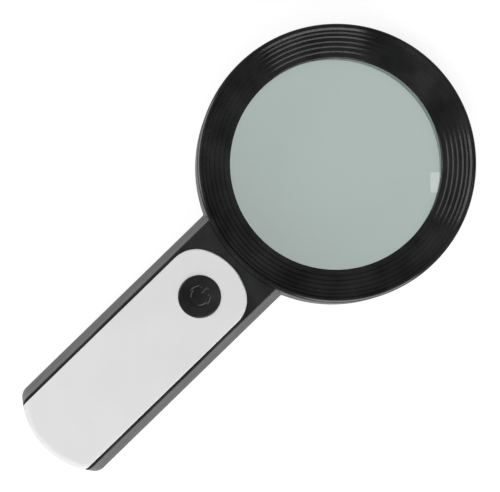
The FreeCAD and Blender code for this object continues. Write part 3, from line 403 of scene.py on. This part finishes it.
def plated_metal(name, base, gloss, grain):
    """Plated steel: a metal skin with fine drawing marks and small changes in its shine."""
    material, tree = new_material(name)
    shine = spread(tree, noise(tree, grain, 4, 0.7), gloss * 0.7, gloss * 1.3)
    marks = noise(tree, 0.2 * MM, 3, 0.7)
    bump = add(tree, "ShaderNodeBump", {"Strength": 0.6, "Distance": 3 * MICRON}, {"Height": marks})
    tarnish = blend(tree, spread(tree, noise(tree, 2 * MM, 3), 0, 1), base, tuple(c * 0.85 for c in base))
    shader = add(tree, "ShaderNodeBsdfPrincipled", {"Metallic": 1.0},
                 {"Base Color": tarnish, "Roughness": shine, "Normal": bump.outputs["Normal"]})
    output(tree, shader.outputs["BSDF"])
    return material


def printed_board(name, mask, track):
    """Glass-epoxy board under green solder mask, with copper tracks that show as paler lines."""
    material, tree = new_material(name)
    place = add(tree, "ShaderNodeTexCoord").outputs["Object"]
    lines = add(tree, "ShaderNodeTexBrick",
                {"Scale": 1 / (4 * MM), "Mortar Size": 0.06, "Brick Width": 1.4, "Row Height": 0.5},
                {"Vector": place}).outputs["Fac"]
    weave = spread(tree, noise(tree, 0.5 * MM, 1), 0.38, 0.5)
    bump = add(tree, "ShaderNodeBump", {"Strength": 0.8, "Distance": 20 * MICRON}, {"Height": lines})
    shader = add(tree, "ShaderNodeBsdfPrincipled", {"IOR": 1.5},
                 {"Base Color": blend(tree, lines, mask, track), "Roughness": weave,
                  "Normal": bump.outputs["Normal"]})
    output(tree, shader.outputs["BSDF"])
    return material


def cell_sleeve(name, sleeve, band, positive, negative):
    """Shrunk PVC sleeve on a dry cell, in one colour with a band at its positive end.

    positive and negative are the places of the cell's two ends along Y.
    """
    material, tree = new_material(name)
    place = add(tree, "ShaderNodeTexCoord").outputs["Object"]
    along = add(tree, "ShaderNodeSeparateXYZ", links={"Vector": place}).outputs["Y"]
    share = add(tree, "ShaderNodeMapRange", {"From Min": positive, "From Max": negative},
                {"Value": along})
    stripes = add(tree, "ShaderNodeValToRGB", links={"Fac": share.outputs["Result"]})
    ramp = stripes.color_ramp
    ramp.interpolation = "CONSTANT"
    ramp.elements[0].color = (0, 0, 0, 1)
    ramp.elements[1].position = 0.24
    ramp.elements[1].color = (1, 1, 1, 1)
    print_soft = spread(tree, noise(tree, 3 * MM, 3), 0.2, 0.3)
    shader = add(tree, "ShaderNodeBsdfPrincipled", {"IOR": 1.5},
                 {"Base Color": blend(tree, stripes.outputs["Color"], band, sleeve),
                  "Roughness": print_soft})
    output(tree, shader.outputs["BSDF"])
    return material


def pale_floor(name, base):
    """Matt white card that the camera, mirrors and glass see as bright, and that keeps soft shadows."""
    material, tree = new_material(name)
    fibre = noise(tree, 2 * MM, 3)
    tone = blend(tree, spread(tree, fibre, 0, 1), base, tuple(c * 0.99 for c in base))
    card = add(tree, "ShaderNodeBsdfDiffuse", links={"Color": tone})
    path = add(tree, "ShaderNodeLightPath")
    lift = add(tree, "ShaderNodeMath", {1: 0.75}, {0: path.outputs["Is Camera Ray"]}, operation="MULTIPLY")
    for ray, strength in (("Is Glossy Ray", 0.15), ("Is Transmission Ray", 0.4)):
        lift = add(tree, "ShaderNodeMath", {1: strength}, {0: path.outputs[ray], 2: lift.outputs[0]},
                   operation="MULTIPLY_ADD")
    glow = add(tree, "ShaderNodeEmission", {"Color": (1, 1, 1, 1)}, {"Strength": lift.outputs[0]})
    both = add(tree, "ShaderNodeAddShader")
    tree.links.new(card.outputs["BSDF"], both.inputs[0])
    tree.links.new(glow.outputs["Emission"], both.inputs[1])
    output(tree, both.outputs["Shader"])
    return material


MADE = {}


def finish_named(name, maker, *values):
    """Makes a finish the first time that it is asked for."""
    if name not in MADE:
        MADE[name] = maker(name, *values)
    return MADE[name]


def black_abs():
    """Black ABS with a satin skin, on the shells and the door."""
    base = tuple(bpy.context.scene.magnifier.plastic.black)
    return finish_named("moulded_black_abs", moulded_plastic, base, 0.22, 0.30 * MM, 1.5 * MICRON, 0.15)


def bezel_shaded_abs():
    """Black ABS from a polished mould, shinier than the shells, with the shells' black painted darker as
    painted shade on the bezel's steps.
    """
    # The 0.45 darkens the shells' black as painted shade on the bezel.
    base = tuple(c * 0.45 for c in bpy.context.scene.magnifier.plastic.black)
    return finish_named("polished_shaded_black_abs", moulded_plastic, base, 0.16, 0.25 * MM, 1.0 * MICRON, 0.15)


def button_abs():
    """Black ABS of the push button, a little smoother than the shells."""
    base = tuple(bpy.context.scene.magnifier.plastic.button)
    return finish_named("smooth_black_abs", moulded_plastic, base, 0.2, 0.25 * MM, 1.0 * MICRON, 0.15)


def zinc_steel():
    """Bright zinc plate, on screws, the spring and the lamps' legs."""
    return finish_named("zinc_plated_steel", plated_metal, linear("a5a7aa"), 0.32, 1.0 * MM)


# ---------------------------------------------------------------- stage

# Each soft box: its name, its bearing in degrees clockwise from the right of the view, its elevation in
# degrees, its power in watts, the length of its side in metres and whether shiny surfaces mirror it.
SOFT_BOXES = (
    ("left", 195, 24, 5.4, 0.7, True),
    ("near", 71, 24, 8.0, 0.8, True),
    ("above", 135, 75, 1.8, 0.7, False),
    ("window", -2, 60.2, 0.062, 0.078, True),
)
LIGHTS_AHEAD = 6.3 * MM  # the lights face a point this far towards the ring from the magnifier's middle
WINDOW_AIM = (34 * MM, 25.8 * MM)  # where the lens mirrors the window
CAMERA_PLACE = (-0.4 * MM, -45.4 * MM)
SENSOR = 36  # width of the camera's sensor in millimetres


class MAGNIFIER_OT_stage(bpy.types.Operator):
    """Set the floor, the soft lights, the world and the camera"""
    bl_idname = "magnifier.stage"
    bl_label = "Stage"

    def execute(self, context):
        settings = context.scene.magnifier.stage
        low, high = CAD_BOX
        middle = (0, (low.y + high.y) / 2 + LIGHTS_AHEAD)
        add_floor(settings)
        add_world(context.scene)
        for name, bearing, elevation, power, size, mirrored in SOFT_BOXES:
            light = soft_light(name, WINDOW_AIM if name == "window" else middle,
                               settings.turn - math.radians(bearing), math.radians(elevation), power, size)
            light.visible_glossy, light.visible_transmission = mirrored, False
        add_camera(context.scene, settings)
        context.scene.view_settings.view_transform = "Standard"
        return {"FINISHED"}


def add_camera(scene, settings):
    """A camera that looks straight down, turned about its own axis."""
    data = bpy.data.cameras.new("camera")
    data.lens, data.sensor_width = settings.focal, SENSOR
    camera = bpy.data.objects.new("camera", data)
    scene.collection.objects.link(camera)
    camera.location = (*CAMERA_PLACE, settings.height)
    camera.rotation_euler = (0, 0, settings.turn)
    scene.camera = camera


def add_floor(settings):
    """A flat square, well past the camera's view, a hair under the magnifier so that no faces coincide."""
    half, under = 3.0, -0.05 * MM
    mesh = bpy.data.meshes.new("floor")
    mesh.from_pydata([(-half, -half, under), (half, -half, under), (half, half, under),
                      (-half, half, under)], [], [(0, 1, 2, 3)])
    floor = bpy.data.objects.new("floor", mesh)
    mesh.materials.append(pale_floor("matt_white_card", tuple(settings.floor)))
    bpy.context.scene.collection.objects.link(floor)


def add_world(scene):
    """An even grey surround, which the camera sees as white."""
    world = bpy.data.worlds.new("studio")
    world.use_nodes = True
    tree = world.node_tree
    tree.nodes.clear()
    path = add(tree, "ShaderNodeLightPath").outputs["Is Camera Ray"]
    strength = add(tree, "ShaderNodeMapRange", {"To Min": 0.16, "To Max": 1.0}, {"Value": path})
    sky = add(tree, "ShaderNodeBackground", {"Color": (1, 1, 1, 1)},
              {"Strength": strength.outputs["Result"]})
    add(tree, "ShaderNodeOutputWorld", links={"Surface": sky.outputs["Background"]})
    scene.world = world


def soft_light(name, middle, azimuth, elevation, power, size, distance=0.9):
    """A square soft box that faces the point middle on the floor. Azimuth is counted from +X, in radians."""
    data = bpy.data.lights.new(name, "AREA")
    data.shape, data.size, data.energy = "SQUARE", size, power
    light = bpy.data.objects.new(name, data)
    away = np.array([math.cos(azimuth) * math.cos(elevation), math.sin(azimuth) * math.cos(elevation),
                     math.sin(elevation)])
    light.location = away * distance + np.array([*middle, 0])
    light.rotation_euler = (math.pi / 2 - elevation, 0, azimuth + math.pi / 2)
    bpy.context.scene.collection.objects.link(light)
    return light


# ---------------------------------------------------------------- pieces

class MAGNIFIER_OT_lens(bpy.types.Operator):
    """Add the lens, whose two faces are caps of one radius"""
    bl_idname = "magnifier.lens"
    bl_label = "Lens"

    def execute(self, context):
        settings = context.scene.magnifier.lens
        low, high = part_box("lens")
        middle, crown = (low.z + high.z) / 2, (high.z - low.z) / 2
        r = high.x * np.sin(np.linspace(0, np.pi / 2, 40))
        sag = settings.curve - np.sqrt(settings.curve ** 2 - r ** 2)
        front = np.column_stack((r, middle + crown - sag))
        back = np.column_stack((r, middle - crown + sag))
        outline = np.concatenate((back, front[::-1]))
        radii = np.zeros(len(outline))
        radii[len(r) - 1:len(r) + 1] = settings.chamfer
        points, normals = rounded(outline, radii, closed=False)
        glass = finish_named("polished_crown_glass", polished_glass, tuple(settings.tint))
        piece("reading_lens", [turned(points, normals, closed=False)], "root", ["lens"], glass)
        return {"FINISHED"}


class MAGNIFIER_OT_bezel(bpy.types.Operator):
    """Add the stepped bezel that falls inwards to the lens"""
    bl_idname = "magnifier.bezel"
    bl_label = "Bezel"

    def execute(self, context):
        settings = context.scene.magnifier.bezel
        low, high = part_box("lens_bezel")
        outside = high.x - settings.flare
        rows = [(outside, high.z)]
        height = high.z
        for inset, width, drop in BEZEL_STEPS:
            rows.append((outside - inset + width / 2, height))
            height -= drop
            rows.append((outside - inset - width / 2, height))
        side_gap, face_gap, board_gap = 0.15 * MM, 0.05 * MM, 0.75 * MM
        cup, cup_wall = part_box("lens")[1].x + side_gap, 1.4 * MM
        seat = lens_front(context.scene.magnifier.lens.curve, settings.opening) + face_gap
        cup_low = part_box("lamp_board")[1].z + board_gap
        flange = high.z - settings.flange
        skirt, skirt_size = outside - 1.71 * MM, 1.0 * MM
        lip_slope, lip_rounding = 0.3 * MM, 0.35 * MM
        top = len(rows)
        rows += [
            (settings.opening + lip_slope, height), (settings.opening, seat), (cup, seat), (cup, cup_low),
            (cup + cup_wall, cup_low), (cup + cup_wall, height - settings.wall),
            (skirt - skirt_size, flange - skirt_size), (skirt, flange - skirt_size), (skirt, flange),
            (high.x, flange),
        ]
        radii = np.full(len(rows), 0.1 * MM)
        radii[:top] = settings.rounding
        radii[0] = settings.rim_rounding
        radii[top] = lip_rounding
        points, normals = rounded(rows, radii, steps=8)
        into_wall = 0.5 * MM
        parts = [turned(points, normals, segments=360),
                 *screw_bosses(low.z, height - settings.wall + into_wall)]
        piece("lens_surround", parts, "root", ["lens_bezel"], bezel_shaded_abs())
        return {"FINISHED"}


def lens_front(curve, radius):
    """Height of the lens's front face at a radius, on a sphere of radius curve."""
    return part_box("lens")[1].z - curve + math.sqrt(curve ** 2 - radius ** 2)


def screw_bosses(bottom, top):
    """The bezel's four screw bosses, as plain turned posts with a pilot hole."""
    low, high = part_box("ring_screws")
    head = 2.1 * MM
    reach_x, reach_y = (high.x - low.x) / 2 - head, (high.y - low.y) / 2 - head
    pilot, outside = 1.2 * MM, 2.7 * MM
    outline = [(pilot, bottom), (outside, bottom), (outside, top), (pilot, top)]
    points, normals = rounded(outline, 0.1 * MM, steps=2)
    return [turned(points, normals, segments=48, centre=(sx * reach_x, sy * reach_y))
            for sx in (1, -1) for sy in (1, -1)]


class MAGNIFIER_OT_button(bpy.types.Operator):
    """Add the push button with its engraved power symbol"""
    bl_idname = "magnifier.button"
    bl_label = "Power button"

    def execute(self, context):
        settings = context.scene.magnifier.button
        low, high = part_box("power_button")
        centre = ((low.x + high.x) / 2, (low.y + high.y) / 2)
        shoulder = high.z - settings.dome
        flat = settings.radius - settings.rounding
        # Rows lie close together as far out as the symbol reaches.
        r = np.concatenate((np.linspace(0, 5.2 * MM, 76), np.linspace(5.5 * MM, flat, 7)))
        bulge = (flat ** 2 + settings.dome ** 2) / (2 * settings.dome)
        crown = np.column_stack((r, high.z - bulge + np.sqrt(bulge ** 2 - r ** 2)))
        flange_top, inside, ceiling = low.z + 1.0 * MM, settings.radius - 1.3 * MM, shoulder - 1.8 * MM
        stem, stem_end = 2.4 * MM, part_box("switch_plunger")[1].z
        rest = [
            (settings.radius, shoulder), (settings.radius, flange_top), (high.x, flange_top),
            (high.x, low.z), (inside, low.z), (inside, ceiling), (stem, ceiling), (stem, stem_end),
            (0, stem_end),
        ]
        outline = np.concatenate((crown, rest))[::-1]
        radii = np.full(len(outline), 0.12 * MM)
        radii[len(rest):] = 0
        radii[len(rest) - 1] = settings.rounding
        points, normals = rounded(outline, radii, closed=False, steps=8)
        vertices, facing, faces = turned(points, normals, closed=False, segments=480, centre=centre)
        # The top sinks by the engraving's depth, and its normals lean by that depth's two slopes.
        on_top = vertices[:, 2] > shoulder - settings.rounding / 2
        x, y = vertices[:, 0] - centre[0], vertices[:, 1] - centre[1]
        sunk = engraving(x, y, settings)
        vertices[on_top, 2] -= sunk[on_top]
        step = 2 * MICRON
        lean = np.column_stack((engraving(x + step, y, settings) - sunk,
                                engraving(x, y + step, settings) - sunk, np.zeros(len(x)))) / step
        facing[on_top] += lean[on_top]
        facing /= np.linalg.norm(facing, axis=1)[:, None]
        piece("power_push_button", [(vertices, facing, faces)], "button", ["power_button"],
              button_abs())
        return {"FINISHED"}


def engraving(x, y, settings):
    """Depth of the power symbol under the button's face at each point.

    The line's middle is a circle with a gap towards +Y, and a bar in the gap. The depth falls from full
    to none across the line's soft edge, as a smooth step of the distance to the line's middle.
    """
    r, away = np.hypot(x, y), np.abs(np.arctan2(x, y))
    end_x, end_y = settings.ring * math.sin(settings.gap), settings.ring * math.cos(settings.gap)
    to_ring = np.where(away > settings.gap, np.abs(r - settings.ring),
                       np.hypot(np.abs(x) - end_x, y - end_y))
    half, soft = settings.stroke / 2, 0.36 * MM
    bar_low, bar_high = 1.2 * MM + half, 4.5 * MM - half
    to_bar = np.hypot(x, y - np.clip(y, bar_low, bar_high))
    distance = np.minimum(to_ring, to_bar)
    share = np.clip((half + soft / 2 - distance) / soft, 0, 1)
    return settings.depth * share * share * (3 - 2 * share)


class MAGNIFIER_OT_lamps(bpy.types.Operator):
    """Add the lamps: clear domed bodies, and the phosphor cup and legs inside each"""
    bl_idname = "magnifier.lamps"
    bl_label = "Lamps"

    def execute(self, context):
        settings = context.scene.magnifier.lamps
        low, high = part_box("lamps")
        radius, dome_height, flange, flange_height = 2.4 * MM, 1.2 * MM, 2.8 * MM, 0.6 * MM
        circle = ring_of_lamps(high.x, flange)
        dome = np.linspace(0, np.pi / 2, 14)
        curve = np.column_stack((radius * np.sin(dome), low.z + dome_height * (1 - np.cos(dome))))
        body = np.concatenate((curve, [
            (radius, high.z - flange_height), (flange, high.z - flange_height), (flange, high.z),
            (0, high.z)]))
        corners = np.zeros(len(body))
        corners[len(curve):] = 0.12 * MM
        tip = np.array((0, low.z))
        cup = tip + np.array([(0, 2.0), (1.25, 2.0), (1.45, 1.85), (1.45, 3.3), (0, 3.3)]) * MM
        post = tip + np.array([(0, 3.35), (0.5, 3.35), (0.5, 4.5), (0, 4.5)]) * MM
        epoxy = finish_named("cast_clear_epoxy", cast_epoxy, tuple(settings.epoxy))
        phosphor = finish_named("yellow_phosphor", phosphor_resin, tuple(settings.phosphor))
        for name, outline, radii, material in (
            ("lamp_domes", body, corners, epoxy),
            ("lamp_phosphor_cups", cup, 0.1 * MM, phosphor),
            ("lamp_leg_posts", post, 0.1 * MM, zinc_steel()),
        ):
            points, normals = rounded(outline, radii, closed=False, steps=3)
            parts = [turned(points, normals, closed=False, segments=36, centre=place) for place in circle]
            piece(name, parts, "root", ["lamps"], material)
        return {"FINISHED"}


def ring_of_lamps(reach, radius, count=12):
    """Twelve places on a circle, the first half a step round from +X, from how far the ring reaches."""
    bearings = (np.arange(count) + 0.5) * 2 * np.pi / count
    circle = (reach - radius) / np.cos(bearings[0])
    return np.column_stack((np.cos(bearings), np.sin(bearings))) * circle


class MAGNIFIER_OT_cells(bpy.types.Operator):
    """Add the three dry cells: a printed sleeve shrunk over each can, and its bare ends"""
    bl_idname = "magnifier.cells"
    bl_label = "Cells"

    def execute(self, context):
        settings = context.scene.magnifier.cells
        can = finish_named("nickel_plated_can", plated_metal, linear("cfccc2"), 0.18, 2.0 * MM)
        for n in (1, 2, 3):
            low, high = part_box(f"cell_{n}")
            centre = ((low.x + high.x) / 2, (low.y + high.y) / 2, (low.z + high.z) / 2)
            towards_ring = n % 2 == 1
            ends = (high.y, low.y) if towards_ring else (low.y, high.y)
            printed = finish_named(f"printed_sleeve_{n}", cell_sleeve, tuple(settings.sleeve),
                                   tuple(settings.band), *ends)
            sleeve, can_surface = cell_surfaces((high.x - low.x) / 2, (high.y - low.y) / 2)
            for name, surface, material in (("print", sleeve, printed), ("can", can_surface, can)):
                piece(f"cell_{name}_{n}", [laid_along_y(surface, centre, towards_ring)], "root",
                      [f"cell_{n}"], material)
        return {"FINISHED"}


def cell_surfaces(radius, half):
    """A cell's sleeve and can, turned about Z, with the positive end's nub at the top.

    radius is the sleeve's and half is half of the cell's length, nub and all. The sleeve laps over the
    can's two ends.
    """
    skin, lap, nub, nub_radius, nub_foot = 0.12 * MM, 1.1 * MM, 0.8 * MM, 1.9 * MM, 2.5 * MM
    shoulder, hole, can = half - nub, radius - lap, radius - 1.2 * MM
    wrap = [(hole, -half), (radius, -half), (radius, shoulder), (hole, shoulder), (hole, shoulder - skin),
            (hole, -half + skin)]
    points, normals = rounded(wrap, np.array([0.05, 0.45, 0.45, 0.05, 0, 0]) * MM, steps=5)
    sleeve = turned(points, normals, segments=96)
    inner = [(0, -half + skin), (can, -half + skin), (can, shoulder - skin), (nub_foot, shoulder - skin),
             (nub_radius, shoulder), (nub_radius, half), (0, half)]
    points, normals = rounded(inner, 0.1 * MM, closed=False, steps=3)
    return sleeve, turned(points, normals, closed=False, segments=64)


class MAGNIFIER_OT_finishes(bpy.types.Operator):
    """Give every remaining node its finish"""
    bl_idname = "magnifier.finishes"
    bl_label = "Finishes"

    def execute(self, context):
        settings = context.scene.magnifier
        plastic = settings.plastic
        white = finish_named("satin_white_abs", moulded_plastic, tuple(plastic.white), 0.42, 0.35 * MM,
                             3 * MICRON, 0.015)
        bright = finish_named("bright_white_abs", moulded_plastic, tuple(plastic.reflector), 0.22,
                              0.6 * MM, 1 * MICRON, 0.01)
        steel = zinc_steel()
        nickel = finish_named("nickel_plated_strip", plated_metal, linear("c9c5ba"), 0.2, 2.0 * MM)
        board = finish_named("green_solder_mask", printed_board, linear("14512b"), linear("2c7a47"))
        red = finish_named("red_pvc", moulded_plastic, linear("a81e18"), 0.35, 0.5 * MM, 2 * MICRON)
        black = finish_named("black_pvc", moulded_plastic, linear("161616"), 0.4, 0.5 * MM, 2 * MICRON)
        nylon = finish_named("matt_blue_nylon", moulded_plastic, linear("22375c"), 0.5, 0.3 * MM,
                             3 * MICRON)
        acetal = finish_named("smooth_white_acetal", moulded_plastic, linear("e2dfd3"), 0.3, 0.5 * MM,
                              1 * MICRON, 0.02)
        chip = finish_named("black_chip_resin", moulded_plastic, linear("1a1a1b"), 0.5, 0.2 * MM,
                            3 * MICRON)
        finishes = {
            "front_shell": black_abs(), "rear_shell": black_abs(), "battery_door": black_abs(),
            "front_panel": white, "lamp_reflector": bright,
            "lamp_board": board, "switch_board": board, "lamp_resistors": chip, "board_resistors": chip,
            "switch_body": nylon, "switch_plunger": acetal, "switch_spring": steel,
            "contact_positive": nickel, "contact_link_ring": nickel, "contact_link_tip": nickel,
            "contact_negative": nickel, "lamp_lead_red": red, "cell_lead_red": red,
            "lamp_lead_black": black, "cell_lead_black": black, "shell_screws": steel,
            "ring_screws": steel, "board_screws": steel,
        }
        for name, material in finishes.items():
            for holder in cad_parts[name].material_slots:
                holder.material = material
        return {"FINISHED"}


class MAGNIFIER_PT_panel(bpy.types.Panel):
    """Lists the magnifier's pieces"""
    bl_idname = "MAGNIFIER_PT_panel"
    bl_label = "Magnifier"
    bl_space_type = "VIEW_3D"
    bl_region_type = "UI"
    bl_category = "Magnifier"

    def draw(self, context):
        for operator in OPERATORS:
            self.layout.operator(operator.bl_idname, text=operator.bl_label)


OPERATORS = (MAGNIFIER_OT_stage, MAGNIFIER_OT_lens, MAGNIFIER_OT_bezel, MAGNIFIER_OT_button,
             MAGNIFIER_OT_lamps, MAGNIFIER_OT_cells, MAGNIFIER_OT_finishes)
CLASSES = (LensSettings, BezelSettings, ButtonSettings, LampSettings, CellSettings, PlasticSettings,
           StageSettings, MagnifierSettings, *OPERATORS, MAGNIFIER_PT_panel)


def register():
    for cls in CLASSES:
        bpy.utils.register_class(cls)
    bpy.types.Scene.magnifier = bpy.props.PointerProperty(type=MagnifierSettings)


def unregister():
    del bpy.types.Scene.magnifier
    for cls in reversed(CLASSES):
        bpy.utils.unregister_class(cls)


def main():
    register()
    bpy.ops.magnifier.stage()
    bpy.ops.magnifier.lens()
    bpy.ops.magnifier.bezel()
    bpy.ops.magnifier.button()
    bpy.ops.magnifier.lamps()
    bpy.ops.magnifier.cells()
    bpy.ops.magnifier.finishes()


if __name__ == "__main__":
    main()
